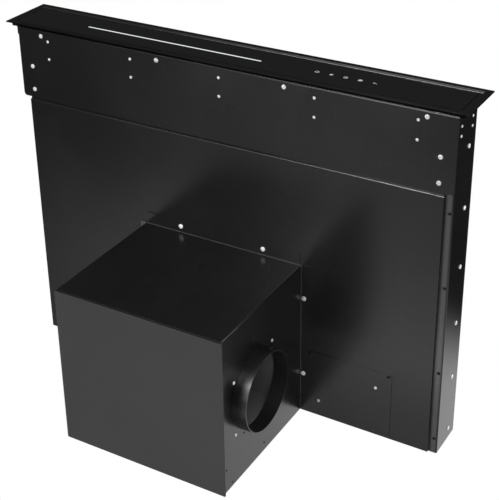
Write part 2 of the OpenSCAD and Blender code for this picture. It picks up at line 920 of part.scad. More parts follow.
// the bell mouth that leads the air into the impeller
module inlet_ring() {
    y1 = scroll_y1 + plate2_t;
    color(plastic_black) translate([fan_x, y1, fan_z]) rotate([90, 0, 0])
        rotate_extrude($fn = 96) translate([inlet_r - scroll_t, -scroll_t])
            bend(inlet_lip, inlet_in + scroll_t, scroll_t, inlet_bend);
}

// blades, back ring with a cup for the motor, front ring and hub
module impeller() {
    r = wheel_r;
    ri = wheel_r - blade_d;
    color(grey_coat) translate([fan_x, 0, fan_z]) {
        translate([0, wheel_y0, 0]) rotate([-90, 0, 0]) rotate_extrude($fn = 96) {
            translate([cup_r - ring_t, 0]) square([r - cup_r + ring_t, ring_t]);
            translate([cup_r - ring_t, 0]) square([ring_t, cup_d]);
            translate([fan_shaft_r, cup_d]) square([cup_r - fan_shaft_r, ring_t]);
            translate([fan_shaft_r, cup_d])
                square([hub_r - fan_shaft_r, hub_l + ring_t]);
            translate([ri, wheel_w - ring_t]) square([blade_d, ring_t]);
        }
        along_y([wheel_y0, wheel_y1])
            for (i = [0:blade_count - 1]) rotate(360 * i / blade_count) blade(ri, r);
    }
}

// one forward-curved blade between two radii
blade_steps = 4;
blade_bow = 14;
module blade(ri, r) {
    function rad(u) = ri + blade_t / 2 + (r - ri - blade_t) * u;
    function ang(u) = blade_bow * u * u;
    polygon(concat(
        [for (i = [0:blade_steps]) let (u = i / blade_steps)
            [rad(u) * cos(ang(u)), rad(u) * sin(ang(u))]],
        [for (i = [blade_steps:-1:0]) let (u = i / blade_steps)
            [rad(u) * cos(ang(u)) - blade_t * sin(ang(u)),
                rad(u) * sin(ang(u)) + blade_t * cos(ang(u))]]));
}

module fan_shaft() {
    cup_y = wheel_y0 + cup_d;
    color(zinc) bar_y(fan_x, [cup_y - cup_play - 3 * boss_l,
        cup_y + ring_t + hub_l + sheet], fan_z, fan_shaft_r);
}

module fan_motor() {
    cup_y = wheel_y0 + cup_d;
    y1 = cup_y - cup_play;
    color(zinc) difference() {
        union() {
            bar_y(fan_x, [scroll_y0, scroll_y0 + motor_flange_t], fan_z,
                motor_flange_r);
            bar_y(fan_x, [scroll_y0, y1 - boss_l], fan_z, motor_r);
            bar_y(fan_x, [scroll_y0, y1], fan_z, boss_r);
        }
        bar_y(fan_x, [y1 - 4 * boss_l, y1 + over], fan_z, fan_shaft_r + run_gap);
    }
}

module capacitor() {
    x0 = -box_hw + sheet + cap_r;
    y = (scroll_y1 + panel_y) / 2;
    color(plastic_white) {
        bar_x([x0, x0 + cap_l], y, box_base + sheet + cap_r, cap_r);
        bar_x([x0 + cap_l, x0 + cap_l + 4 * board_t], y, box_base + sheet + cap_r,
            cap_r / 2);
    }
}

// the glass lid, flush with the plate when it is down
module lid_glass() {
    color(glass_black) difference() {
        along_z([lid_z0, plate_t])
            round_rect([-lid_hw, lid_hw], [lid_y0, lid_y1], lid_r);
        block([led_x0, led_x0 + led_len], [led_y - led_w / 2, led_y + led_w / 2],
            [plate_t - led_t, plate_t + over]);
        for (i = [0:mark_count - 1])
            bar_z(mark_x0 + i * mark_pitch, mark_y, [plate_t - mark_t, plate_t + over],
                mark_dia / 2);
    }
}

module led_bar() {
    color("white")
        block([led_x0, led_x0 + led_len], [led_y - led_w / 2, led_y + led_w / 2],
            [plate_t - led_t, plate_t]);
}

module touch_marks() {
    color([0.6, 0.6, 0.62]) for (i = [0:mark_count - 1])
        bar_z(mark_x0 + i * mark_pitch, mark_y, [plate_t - mark_t, plate_t],
            mark_dia / 2);
}

module lid_carrier() {
    color(black_coat) difference() {
        block([-tower_hw, tower_hw], [tower_y0, tower_y1], [tower_top, lid_z0]);
        block([-tower_hw + sheet, tower_hw - sheet],
            [tower_y0 + sheet, tower_y1 - sheet], [tower_top + sheet, lid_z0 + over]);
    }
}

module light_board() {
    z0 = tower_top + sheet;
    color([0.1, 0.35, 0.2])
        block([led_x0, mark_x0 + mark_count * mark_pitch],
            [led_y - board_d / 2, led_y + board_d / 2], [z0, z0 + board_t]);
}

// left end of window i in the tower's front
function window_x(i) = -tower_hw + window_edge + i * (window_w + window_gap);

module tower_front_frame() {
    z1 = tower_top - window_top;
    color(black_coat) {
        along_y([tower_y0, tower_y0 + sheet]) difference() {
            translate([-tower_hw, tower_base]) square([tower_w, tower_h]);
            for (i = [0:filter_count - 1])
                round_rect([window_x(i), window_x(i) + window_w], [z1 - window_h, z1],
                    window_r);
        }
        block([-tower_hw + column_lip + sheet, tower_hw - column_lip - sheet],
            [tower_y0, tower_y0 + floor_lip], [tower_base, tower_base + sheet]);
    }
}

module tower_rear_wall() {
    color(black_coat) {
        block([-tower_hw, tower_hw], [tower_y1 - sheet, tower_y1],
            [tower_base, tower_top]);
        block([-tower_hw + column_lip + sheet, tower_hw - column_lip - sheet],
            [tower_y1 - floor_lip, tower_y1], [tower_base, tower_base + sheet]);
    }
}

// a filter cassette with two staggered rows of upright baffles
module grease_filter(i) {
    x = [window_x(i) - filter_lap, window_x(i) + window_w + filter_lap];
    z1 = tower_top - window_top + filter_lap;
    z = [z1 - window_h - 2 * filter_lap, z1];
    y = [tower_y0 + sheet, tower_y0 + sheet + filter_t];
    n = floor((x[1] - x[0] - 2 * filter_rim) / baffle_pitch);
    step = (x[1] - x[0] - 2 * filter_rim) / n;
    color(zinc) {
        difference() {
            block(x, y, z);
            block([x[0] + filter_rim, x[1] - filter_rim], [y[0] - over, y[1] + over],
                [z[0] + filter_rim, z[1] - filter_rim]);
        }
        for (k = [0:n - 1]) {
            px = x[0] + filter_rim + (k + 0.5) * step;
            block([px - baffle_w / 2, px + baffle_w / 2], [y[0], y[0] + baffle_t],
                [z[0] + filter_rim / 2, z[1] - filter_rim / 2]);
        }
        for (k = [1:n - 1]) {
            px = x[0] + filter_rim + k * step;
            block([px - baffle_w / 2, px + baffle_w / 2], [y[1] - baffle_t, y[1]],
                [z[0] + filter_rim / 2, z[1] - filter_rim / 2]);
        }
        px = (x[0] + x[1]) / 2;
        pz = z1 - filter_lap - grip_drop;
        along_y([tower_y0 + slide_gap, y[0] + baffle_t / 2]) difference() {
            round_rect([px - grip_w / 2, px + grip_w / 2], [pz - grip_h, pz], bend_r);
            round_rect([px - grip_w / 2 + grip_slot, px + grip_w / 2 - grip_slot],
                [pz - grip_h + grip_slot, pz - grip_slot], bend_r);
        }
    }
}
module left_filter() { grease_filter(0); }
module middle_filter() { grease_filter(1); }
module right_filter() { grease_filter(2); }

// a column: a channel beside the duct that goes on as a leg below it
module column() {
    y0 = tower_y0 + sheet;
    color(black_coat) {
        along_z([tower_base, tower_top]) {
            translate([tower_hw, y0]) mirror([1, 0])
                bend(column_lip + sheet, tower_d / 2, sheet, bend_r);
            translate([tower_hw, tower_y1 - sheet]) mirror([1, 0]) mirror([0, 1])
                bend(column_lip + sheet, tower_d / 2, sheet, bend_r);
        }
        along_z([leg_base, tower_base])
            translate([tower_hw, y0]) mirror([1, 0])
                bend(column_lip + sheet, leg_d, sheet, bend_r);
    }
}
module left_column() { mirror([1, 0, 0]) column(); }
module right_column() { column(); }

// a rack with stub teeth that face the rear
rack_z0 = shaft_z - (rack_teeth - rack_n0) * rack_pitch;
add_share = 0.8;
ded_share = 1.25;
function rack_tooth(z) = let (h = rack_pitch / 4 - backlash / 2,
    a = gear_m * add_share, d = gear_m * ded_share, s = tan(20)) [
    [rack_y - d, z - h - d * s], [rack_y + a, z - h + a * s],
    [rack_y + a, z + h - a * s], [rack_y - d, z + h + d * s]];
module rack() {
    d = gear_m * ded_share;
    teeth = [for (k = [0:rack_teeth - 1]) rack_tooth(rack_z0 + (k + 0.5) * rack_pitch)];
    color(plastic_white) along_x([gear_x0, gear_x1]) polygon(concat(
        [[rack_y - rack_back, rack_z0 + rack_teeth * rack_pitch],
            [rack_y - rack_back, rack_z0], [rack_y - d, rack_z0]],
        [for (t = teeth, p = t) p],
        [[rack_y - d, rack_z0 + rack_teeth * rack_pitch]]));
}
module left_rack() { mirror([1, 0, 0]) rack(); }
module right_rack() { rack(); }

// plastic shoes that run in the guide rails, near the top and the foot of each leg
module sliders() {
    color(plastic_white) for (s = [0, 1],
            z0 = [leg_base + slider_foot, shaft_z - pitch_r / 2 - slider_h])
        mirror([s, 0, 0])
            block([tower_hw, inner_hw - sheet - slide_gap],
                [guide_y0 + sheet + slide_gap, guide_y0 + guide_w - sheet - slide_gap],
                [z0, z0 + slider_h]);
}

module cross_shaft() {
    color(zinc) bar_x([-inner_hw + shaft_end, inner_hw - shaft_end],
        shaft_y, shaft_z, shaft_r);
}

// an involute pinion with a tooth towards the rack
base_r = pitch_r * cos(20);
tip_r = pitch_r + gear_m;
root_r = pitch_r - ded_share * gear_m;
function inv(a) = tan(a) * 180 / PI - a;
function half_tooth(r) = (rack_pitch / 4 - backlash / 4) / pitch_r * 180 / PI + inv(20)
    - inv(acos(min(1, base_r / r)));
flank_steps = 3;
function flank(s) = [for (i = [0:flank_steps])
    let (r = base_r + (tip_r - base_r) * i / flank_steps) [r, s * half_tooth(r)]];
function tooth_polar() = concat([[root_r, -half_tooth(base_r)]], flank(-1),
    reversed(flank(1)), [[root_r, half_tooth(base_r)]]);
module pinions() {
    color(plastic_white) for (s = [0, 1]) mirror([s, 0, 0])
        along_x([gear_x0, gear_x1]) translate([shaft_y, shaft_z]) difference() {
            polygon([for (k = [0:pinion_teeth - 1], q = tooth_polar())
                let (a = 180 + 360 * k / pinion_teeth + q[1])
                    [q[0] * cos(a), q[0] * sin(a)]]);
            circle(r = shaft_r);
        }
}

top_plate();
support_frame();
rear_trim();
front_band();
lower_front_panel();
side_cover();
cover_spacers();
left_cheek();
left_side_panel();
right_side_panel();
rear_panel();
base_panel();
joint_rail();
access_plate();
left_guide_rail();
right_guide_rail();
shaft_brackets();
lift_gearbox();
lift_motor();
control_box();
control_board();
terminal_block();
cable_gland();
blower_case();
blower_front_cover();
scroll_wall();
front_scroll_plate();
rear_scroll_plate();
inlet_ring();
fan_motor();
capacitor();
outlet_spigot();
band_screws();
band_rivets();
side_screws();
strip_screws();
flange_screws();
access_screws();
spigot_screws();
case_rivets();
lid_glass();
led_bar();
touch_marks();
lid_carrier();
light_board();
tower_front_frame();
tower_rear_wall();
left_filter();
middle_filter();
right_filter();
left_column();
right_column();
left_rack();
right_rack();
sliders();
cross_shaft();
pinions();
impeller();
fan_shaft();
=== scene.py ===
"""Studio scene of a pop-up kitchen downdraft vent."""
import json
import math

import bmesh
import bpy
from mathutils import Matrix, Vector


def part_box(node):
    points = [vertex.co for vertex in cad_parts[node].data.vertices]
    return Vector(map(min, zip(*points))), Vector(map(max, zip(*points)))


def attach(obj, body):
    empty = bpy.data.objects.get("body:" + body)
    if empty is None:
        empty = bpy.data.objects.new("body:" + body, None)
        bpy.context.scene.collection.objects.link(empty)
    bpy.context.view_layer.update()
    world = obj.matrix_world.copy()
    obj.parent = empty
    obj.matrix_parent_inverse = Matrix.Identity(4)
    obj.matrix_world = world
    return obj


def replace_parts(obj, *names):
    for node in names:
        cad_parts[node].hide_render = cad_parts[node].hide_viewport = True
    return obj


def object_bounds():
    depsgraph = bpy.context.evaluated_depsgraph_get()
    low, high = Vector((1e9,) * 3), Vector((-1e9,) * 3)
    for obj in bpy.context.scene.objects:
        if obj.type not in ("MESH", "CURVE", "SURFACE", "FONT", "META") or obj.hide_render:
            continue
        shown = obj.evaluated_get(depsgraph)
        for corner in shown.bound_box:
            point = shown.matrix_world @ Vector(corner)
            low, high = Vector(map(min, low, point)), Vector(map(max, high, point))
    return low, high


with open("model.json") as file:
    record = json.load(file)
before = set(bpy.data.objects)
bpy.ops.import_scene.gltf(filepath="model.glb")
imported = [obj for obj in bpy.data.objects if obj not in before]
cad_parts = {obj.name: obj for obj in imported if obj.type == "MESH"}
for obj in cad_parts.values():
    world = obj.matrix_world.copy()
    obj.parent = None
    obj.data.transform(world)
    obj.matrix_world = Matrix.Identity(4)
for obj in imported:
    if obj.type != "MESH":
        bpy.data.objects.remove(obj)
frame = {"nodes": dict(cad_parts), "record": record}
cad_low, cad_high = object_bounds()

MM = 0.001
WELD = 2e-6               # vertices nearer than this are one
FLAT_ANGLE = 0.6          # degrees; faces that bend less are one face
SHARP_ANGLE = 40          # degrees; sheet edges that bend more are rounded
GOLDEN_TURN = 2.39996     # radians from one screw's recess to the next
FLANGE_SHEET = 1.5 * MM   # thickness of the motor box's flange
FLOOR_DROP = 0.5          # metres from the vent's foot to the floor

scene = bpy.context.scene
scene.view_settings.view_transform = "Standard"


# Camera: where the photograph was taken from.

def aim_camera():
    """Stands the camera where the photograph was taken."""
    azimuth, elevation, roll = (math.radians(v) for v in (30.441, 26.763, -0.760))
    back = Vector((math.sin(azimuth) * math.cos(elevation),
                   -math.cos(azimuth) * math.cos(elevation), math.sin(elevation)))
    right = (-back).cross(Vector((0, 0, 1))).normalized()
    up = right.cross(-back)
    turned = right * math.cos(roll) + up * math.sin(roll)
    up = up * math.cos(roll) - right * math.sin(roll)
    data = bpy.data.cameras.new("camera")
    data.lens = 89.31
    data.sensor_width = 36
    data.shift_x, data.shift_y = -0.001, -0.14
    data.clip_end = 100
    camera = bpy.data.objects.new("camera", data)
    scene.collection.objects.link(camera)
    pose = Matrix((turned, up, back)).transposed().to_4x4()
    pose.translation = Vector((1.0303, -1.6975, 0.7608))
    camera.matrix_world = pose
    scene.camera = camera


# Shader kit: arithmetic on node sockets, and the few nodes that the finishes share.

class Wire:
    """A value inside a material. Arithmetic on it adds Math nodes."""

    def __init__(self, finish, socket):
        self.finish, self.socket = finish, socket

    def math(self, operation, *values):
        return self.finish.add("Math", {"operation": operation},
                               dict(enumerate(values)))

    def __add__(self, other): return self.math("ADD", self, other)
    def __radd__(self, other): return self.math("ADD", other, self)
    def __sub__(self, other): return self.math("SUBTRACT", self, other)
    def __rsub__(self, other): return self.math("SUBTRACT", other, self)
    def __mul__(self, other): return self.math("MULTIPLY", self, other)
    def __rmul__(self, other): return self.math("MULTIPLY", other, self)

    def over(self, low, high):
        """0 below low, 1 above high, smooth between."""
        return self.finish.add("MapRange", {"interpolation_type": "SMOOTHSTEP"},
                               {0: self, 1: low, 2: high, 3: 0.0, 4: 1.0})


class Finish:
    """A material and the few ways in which its nodes are made."""

    def __init__(self, name, tree=None):
        self.material = None
        if tree is None:
            self.material = bpy.data.materials.new(name)
            self.material.use_nodes = True
            tree = self.material.node_tree
            self.shader = tree.nodes["Principled BSDF"]
        self.tree = tree

    def add(self, kind, settings=None, values=None, out=0):
        node = self.tree.nodes.new("ShaderNode" + kind)
        for key, value in (settings or {}).items():
            setattr(node, key, value)
        for key, value in (values or {}).items():
            if isinstance(value, Wire):
                self.tree.links.new(value.socket, node.inputs[key])
            else:
                node.inputs[key].default_value = value
        return Wire(self, node.outputs[out])

    def place(self):
        """Object coordinates."""
        return self.add("TexCoord", out=3)

    def axes(self):
        """The X, Y and Z of the object coordinates."""
        split = self.add("SeparateXYZ", {}, {0: self.place()}).socket.node
        return [Wire(self, socket) for socket in split.outputs]

    def distance(self, point):
        """How far the surface is from a point."""
        return self.add("VectorMath", {"operation": "DISTANCE"},
                        {0: self.place(), 1: point}, out=1)

    def noise(self, scale, detail=2.0, rough=0.5, stretch=(1, 1, 1)):
        at = self.add("Mapping", {"vector_type": "POINT"},
                      {0: self.place(), 3: stretch})
        return self.add("TexNoise", {}, {"Vector": at, "Scale": scale,
                                         "Detail": detail, "Roughness": rough})

    def mix(self, share, first, second):
        def full(c):
            return (*c, 1) if isinstance(c, tuple) and len(c) == 3 else c
        return self.add("Mix", {"data_type": "RGBA"},
                        {0: share, 6: full(first), 7: full(second)}, out=2)

    def bump(self, height, strength, depth, under=None):
        values = {"Strength": strength, "Distance": depth, "Height": height}
        if under is not None:
            values["Normal"] = under
        return self.add("Bump", {}, values)

    def set(self, **sockets):
        for key, value in sockets.items():
            socket = self.shader.inputs[key.replace("_", " ").title().replace("Ior", "IOR")]
            if isinstance(value, Wire):
                self.tree.links.new(value.socket, socket)
            elif isinstance(value, tuple) and len(value) == 3:
                socket.default_value = (*value, 1)
            else:
                socket.default_value = value
        return self


# Finishes of the vent's sheets, glass, metal and plastic.

def powder_coat(name, colour, rough, wear=0.35, shine=0.5, painted_highlight=None):
    """Baked powder paint: fine orange peel, cloudy gloss and faint handling marks; the last
    argument paints a light grey highlight into it.
    """
    f = Finish(name)
    cloud = f.noise(5, 3)
    speck = f.noise(420, 2)
    smear = f.noise(9, 4, 0.6, (1, 1, 0.35)).over(0.56, 0.75)
    lighter = tuple(min(1, c * 1.4 + 0.002) for c in colour)
    tint = f.mix(cloud.over(0.35, 0.75) * 0.5 + speck.over(0.45, 0.7) * 0.3,
                 colour, lighter)
    # Painted highlight: light grey mixed into the paint where the given share says,
    # standing in for light caught by an edge or bend.
    if painted_highlight is not None:
        tint = f.mix(painted_highlight(f), tint, (0.3, 0.3, 0.305))
    peel = f.noise(620, 1)
    wave = f.noise(28, 2)
    dents = f.bump(wave, 0.25, 0.00035)
    skin = f.bump(peel, 0.22, 0.00009, dents)
    return f.set(base_color=tint, metallic=0.0,
                 roughness=(cloud * 0.12 + smear * wear * 0.2 + (rough - 0.06)),
                 specular_ior_level=shine, normal=skin).material


def panel_coat(name, painted_highlight=None):
    """The semi-gloss black of the casing's panels, with an optional painted highlight."""
    return powder_coat(name, (0.0055, 0.0055, 0.0058), 0.27, 0.35, 0.68, painted_highlight)


def top_edge_highlight(node, from_x, deep, strength):
    """Share of a painted highlight along a sheet's top edge, growing to the right where the
    light would catch it.
    """
    edge_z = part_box(node)[1].z
    def share(f):
        across, _, height = f.axes()
        line = height.over(edge_z - (deep + 0.9) * MM, edge_z - (deep + 0.3) * MM)
        line = line * (1.0 - height.over(edge_z - deep * MM, edge_z - (deep - 0.5) * MM))
        return line * across.over(from_x, from_x + 0.4) * strength
    return share


def fold_highlight_and_pale_end(node):
    """Share of a painted highlight along a flange's fold, and of a lighter grey on its left
    end.
    """
    low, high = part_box(node)
    fold_y, end_x = high.y - FLANGE_SHEET, low.x + 11.5 * MM
    def share(f):
        across, depth, _ = f.axes()
        line = depth.over(fold_y - 2.8 * MM, fold_y - 1.6 * MM)
        line = line * (1.0 - depth.over(fold_y - 0.7 * MM, fold_y - 0.2 * MM)) * 0.35
        return line + (1.0 - across.over(end_x - 1 * MM, end_x)) * 0.12
    return share


def front_strip_highlight(node):
    """Share of a painted highlight down the middle of a cover's front strip, where its
    rounded bend would catch the light.
    """
    low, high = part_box(node)
    middle, half = (low.x + high.x) / 2, (high.x - low.x) / 2
    def share(f):
        across, depth, _ = f.axes()
        away = across.math("ABSOLUTE", across - middle)
        line = 1.0 - away.over(half * 0.25, half * 0.95)
        return line * (1.0 - depth.over(low.y + 0.4 * MM, low.y + 1.0 * MM)) * 0.15
    return share


def painted_highlight_trim(name):
    """Black strip with painted highlights along its two long edges, strongest towards its
    right end.
    """
    f = Finish(name)
    along, depth, _ = f.axes()
    low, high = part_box("rear_trim")
    middle, half = (low.y + high.y) / 2, (high.y - low.y) / 2
    edge = depth.math("ABSOLUTE", depth - middle).over(half - 2.6 * MM, half - 1.5 * MM)
    lit_towards_right = along.over(-0.25, 0.3) * 0.93 + 0.07
    wear = f.noise(40, 3).over(0.2, 0.6) * 0.4 + 0.6
    # Painted highlight: light grey along both edges, fading towards the left, mottled by
    # the wear noise.
    tint = f.mix(lit_towards_right * wear * (edge * 0.88 + 0.12), (0.004, 0.004, 0.0042),
                 (0.22, 0.22, 0.225))
    return f.set(base_color=tint, roughness=wear * 0.1 + 0.25).material


def galvanised(name, colour, rough=0.34, spangle=95.0):
    """Zinc-coated sheet with its crystal pattern and some rolling grain."""
    f = Finish(name)
    grains = f.add("TexVoronoi", {"feature": "F1"},
                   {"Vector": f.place(), "Scale": spangle}, out=1)
    grey = f.add("RGBToBW", {}, {0: grains})
    tint = f.mix(grey, tuple(c * 0.82 for c in colour), colour)
    grain = f.noise(60, 3, 0.6, (1, 1, 9))
    return f.set(base_color=tint, metallic=1.0,
                 roughness=grey * 0.1 + grain * 0.12 + (rough - 0.08),
                 normal=f.bump(grain, 0.15, 0.0001)).material


def turned_metal(name, colour, rough, metallic=1.0):
    """Plated screws and shafts: bright, with small tool marks."""
    f = Finish(name)
    marks = f.noise(900, 2, 0.6)
    stain = f.noise(130, 3).over(0.45, 0.75)
    tint = f.mix(stain, colour, tuple(c * 0.72 for c in colour))
    return f.set(base_color=tint, metallic=metallic,
                 roughness=marks * 0.12 + stain * 0.12 + (rough - 0.06),
                 normal=f.bump(marks, 0.2, 0.00005)).material


def moulded(name, colour, rough, grain=700.0):
    """Moulded plastic with a fine spark-eroded grain and faint flow marks."""
    f = Finish(name)
    flow = f.noise(14, 3)
    grit = f.noise(grain, 2)
    tint = f.mix(flow.over(0.35, 0.7) * 0.6, colour, tuple(c * 0.86 for c in colour))
    return f.set(base_color=tint, roughness=flow * 0.1 + grit * 0.1 + (rough - 0.1),
                 normal=f.bump(grit, 0.25, 0.00008)).material


def black_glass(name):
    """Back-painted tempered glass with the trace of a wiping cloth."""
    f = Finish(name)
    wipe = f.noise(3.2, 5, 0.65, (1, 4, 1)).over(0.52, 0.8)
    dust = f.noise(1300, 1).over(0.7, 0.82)
    tint = f.mix(dust * 0.25, (0.005, 0.0052, 0.0057), (0.05, 0.05, 0.052))
    return f.set(base_color=tint, roughness=wipe * 0.07 + dust * 0.08 + 0.05,
                 ior=1.43, coat_weight=0.05, coat_roughness=0.03).material


def light_diffuser(name):
    """Milky light guide over a row of small lamps."""
    f = Finish(name)
    along, depth, _ = f.axes()
    pitch = 8.3 * MM
    lamps = along.math("COSINE", along * (2 * math.pi / pitch))
    middle = sum(corner.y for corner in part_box("led_bar")) / 2
    edge = depth.math("ABSOLUTE", depth - middle).over(0.3 * MM, 2.1 * MM)
    lit = f.mix(lamps * 0.5 + 0.5, (0.86, 0.91, 0.98), (1.0, 1.0, 1.0))
    glow = f.mix(edge, lit, (0.05, 0.05, 0.055))
    return f.set(base_color=(0.2, 0.2, 0.2), roughness=0.35, emission_color=glow,
                 emission_strength=1.0).material


def circuit_board(name):
    """Solder mask over copper tracks."""
    f = Finish(name)
    tracks = f.add("TexBrick", {"offset": 0.37},
                   {"Vector": f.place(), "Color1": (0.015, 0.09, 0.035, 1),
                    "Color2": (0.02, 0.13, 0.05, 1), "Mortar": (0.03, 0.2, 0.08, 1),
                    "Scale": 90.0, "Mortar Size": 0.03})
    relief = f.noise(260, 2)
    return f.set(base_color=tracks, roughness=relief * 0.15 + 0.22,
                 normal=f.bump(relief, 0.3, 0.0001)).material


def baffle_metal(name):
    """Satin aluminium with drawn lines along the baffles."""
    f = Finish(name)
    lines = f.noise(240, 3, 0.7, (1, 1, 0.03))
    film = f.noise(11, 3).over(0.4, 0.8)
    tint = f.mix(film * 0.6, (0.66, 0.67, 0.69), (0.5, 0.5, 0.5))
    return f.set(base_color=tint, metallic=1.0, roughness=lines * 0.2 + film * 0.1 + 0.2,
                 normal=f.bump(lines, 0.3, 0.00006)).material


def touch_print(name):
    """Grey print under the glass."""
    f = Finish(name)
    dots = f.noise(2400, 1).over(0.3, 0.6)
    tint = f.mix(dots, (0.62, 0.63, 0.65), (0.76, 0.77, 0.79))
    return f.set(base_color=tint, roughness=dots * 0.1 + 0.3).material


aim_camera()

BLACK = powder_coat("black_powder_coat", (0.0045, 0.0045, 0.0048), 0.34)
# Painted shadow: a near-black, barely glossy paint on the support frame, darker than the
# other black, for the shade under the plate's front edge.
SHADE = powder_coat("painted_shadow_powder_coat", (0.0008, 0.0008, 0.0009), 0.45, 0.2, 0.03)
# Painted highlight down the side cover's front strip.
SIDE = powder_coat("side_powder_coat", (0.0045, 0.0045, 0.0047), 0.17, 0.2, 0.6,
                   front_strip_highlight("side_cover"))
SPIGOT = powder_coat("spigot_powder_coat", (0.008, 0.008, 0.0082), 0.36, 0.35, 1.0)
BODY = panel_coat("panel_powder_coat")
# Painted highlights: light lines along the band's and the lower panel's top edges, brighter
# towards the right.
BAND = panel_coat("band_powder_coat", top_edge_highlight("front_band", 0.0, 3.2, 0.85))
PANEL = panel_coat("lower_panel_powder_coat",
                   top_edge_highlight("lower_front_panel", 0.05, 0.7, 0.35))
# Painted highlight along the motor box's flange fold; the box's left end is painted lighter
# grey.
CASE = panel_coat("case_powder_coat", fold_highlight_and_pale_end("blower_case"))
COVER = powder_coat("cover_powder_coat", (0.02, 0.02, 0.0206), 0.4)
DUCT = powder_coat("duct_powder_coat", (0.12, 0.12, 0.122), 0.45)
PLATE = powder_coat("plate_powder_coat", (0.0028, 0.0028, 0.003), 0.2, 0.2, 0.25)
# Painted highlights on the rear trim's two edges.
TRIM = painted_highlight_trim("painted_highlight_trim")
GLASS = black_glass("black_lid_glass")
LIGHT = light_diffuser("light_diffuser")
PRINT = touch_print("grey_touch_print")
SCREW = turned_metal("plated_screw", (0.68, 0.685, 0.69), 0.32, 0.2)
# Painted light: a lighter copy of the plated screw, for screws that would otherwise look
# dim where the light grazes them.
LIT_COPY_SCREW = turned_metal("lit_copy_plated_screw", (0.95, 0.955, 0.96), 0.32, 0.2)
DARK_SCREW = turned_metal("black_oxide_screw", (0.045, 0.045, 0.047), 0.4)
SHAFT = turned_metal("ground_shaft", (0.66, 0.67, 0.69), 0.22)
SHEET = galvanised("galvanised_sheet", (0.56, 0.57, 0.59))
RAIL = galvanised("drawn_rail", (0.62, 0.63, 0.65), 0.3, 40.0)
MOTOR = galvanised("motor_shell", (0.42, 0.43, 0.45), 0.32, 160.0)
FILTER = baffle_metal("filter_aluminium")
PLASTIC = moulded("black_nylon", (0.016, 0.016, 0.017), 0.5)
WHEEL = moulded("grey_impeller_plastic", (0.06, 0.062, 0.066), 0.45)
ACETAL = moulded("white_acetal", (0.72, 0.71, 0.67), 0.42, 500.0)
BOARD = circuit_board("green_circuit_board")

FINISHES = {
    "top_plate": PLATE, "support_frame": SHADE, "rear_trim": TRIM,
    "front_band": BAND, "lower_front_panel": PANEL, "side_cover": SIDE,
    "cover_spacers": SCREW, "left_cheek": BODY, "left_side_panel": BODY,
    "right_side_panel": BODY, "rear_panel": BODY, "base_panel": BODY,
    "joint_rail": BODY, "access_plate": BODY, "left_guide_rail": RAIL,
    "right_guide_rail": RAIL, "shaft_brackets": PLASTIC, "lift_gearbox": PLASTIC,
    "lift_motor": MOTOR, "control_box": PLASTIC, "control_board": BOARD,
    "terminal_block": ACETAL, "cable_gland": PLASTIC, "blower_case": CASE,
    "blower_front_cover": COVER, "scroll_wall": DUCT, "front_scroll_plate": DUCT,
    "rear_scroll_plate": DUCT, "inlet_ring": PLASTIC, "fan_motor": MOTOR,
    "capacitor": ACETAL, "outlet_spigot": SPIGOT, "band_screws": SCREW,
    "band_rivets": SCREW, "side_screws": LIT_COPY_SCREW, "strip_screws": DARK_SCREW,
    "flange_screws": LIT_COPY_SCREW, "access_screws": SCREW,
    "spigot_screws": LIT_COPY_SCREW, "case_rivets": DARK_SCREW,
    "lid_glass": GLASS, "led_bar": LIGHT, "touch_marks": GLASS,
    "lid_carrier": BLACK, "light_board": BOARD,
    "tower_front_frame": BLACK, "tower_rear_wall": BLACK, "left_filter": FILTER,
    "middle_filter": FILTER, "right_filter": FILTER, "left_column": BLACK,
    "right_column": BLACK, "left_rack": ACETAL, "right_rack": ACETAL,
    "sliders": ACETAL, "cross_shaft": SHAFT, "pinions": ACETAL,
    "impeller": WHEEL, "fan_shaft": SHAFT,
}
BODY_OF = {node: body for body, nodes in
           frame["record"]["behaviour"]["bodies"].items() for node in nodes}

for node, item in frame["nodes"].items():
    item.data.materials.clear()
    item.data.materials.append(FINISHES[node])


# Helpers that make pieces out of bmeshes and CAD nodes.

def settle(name, mesh_data, finish, node, crease=35.0):
    """Turns a bmesh into a piece that stands for a CAD node."""
    for face in mesh_data.faces:
        face.smooth = True
    for edge in mesh_data.edges:
        if len(edge.link_faces) == 2:
            edge.smooth = edge.calc_face_angle(0.0) < math.radians(crease)
    mesh = bpy.data.meshes.new(name)
    mesh_data.to_mesh(mesh)
    mesh_data.free()
    mesh.materials.append(finish)
    piece = bpy.data.objects.new(name, mesh)
    scene.collection.objects.link(piece)
    even = piece.modifiers.new("even", "WEIGHTED_NORMAL")
    even.mode, even.weight, even.keep_sharp = "FACE_AREA", 90, True
    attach(piece, BODY_OF[node])
    return piece


def merged_copy(node):
    """A bmesh copy of a CAD node with its loose triangles joined."""
    work = bmesh.new()
    work.from_mesh(frame["nodes"][node].data)
    bmesh.ops.remove_doubles(work, verts=work.verts, dist=WELD)
    bmesh.ops.dissolve_limit(work, angle_limit=math.radians(FLAT_ANGLE),
                             verts=work.verts, edges=work.edges)
    return work


def round_off(work, edges, radius, steps):
    """Bevels some of a bmesh's edges to a round of the given radius."""
    bmesh.ops.bevel(work, geom=edges, offset=radius * MM, offset_type="OFFSET",
                    segments=steps, profile=0.5, affect="EDGES", clamp_overlap=True,
                    material=-1)


def softened(node, edge_radius, bend=None, bend_radius=0.0):
    """The CAD node with its sharp edges rounded, as pressed and painted sheet has.

    bend picks the edges that the press brake left with a larger radius.
    """
    work = merged_copy(node)
    if bend is not None:
        round_off(work, [e for e in work.edges if bend(e)], bend_radius, 6)
    sharp = [e for e in work.edges if len(e.link_faces) == 2
             and e.calc_face_angle(0.0) > math.radians(SHARP_ANGLE)]
    round_off(work, sharp, edge_radius, 2)
    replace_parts(settle(node + "_soft", work, FINISHES[node], node), node)


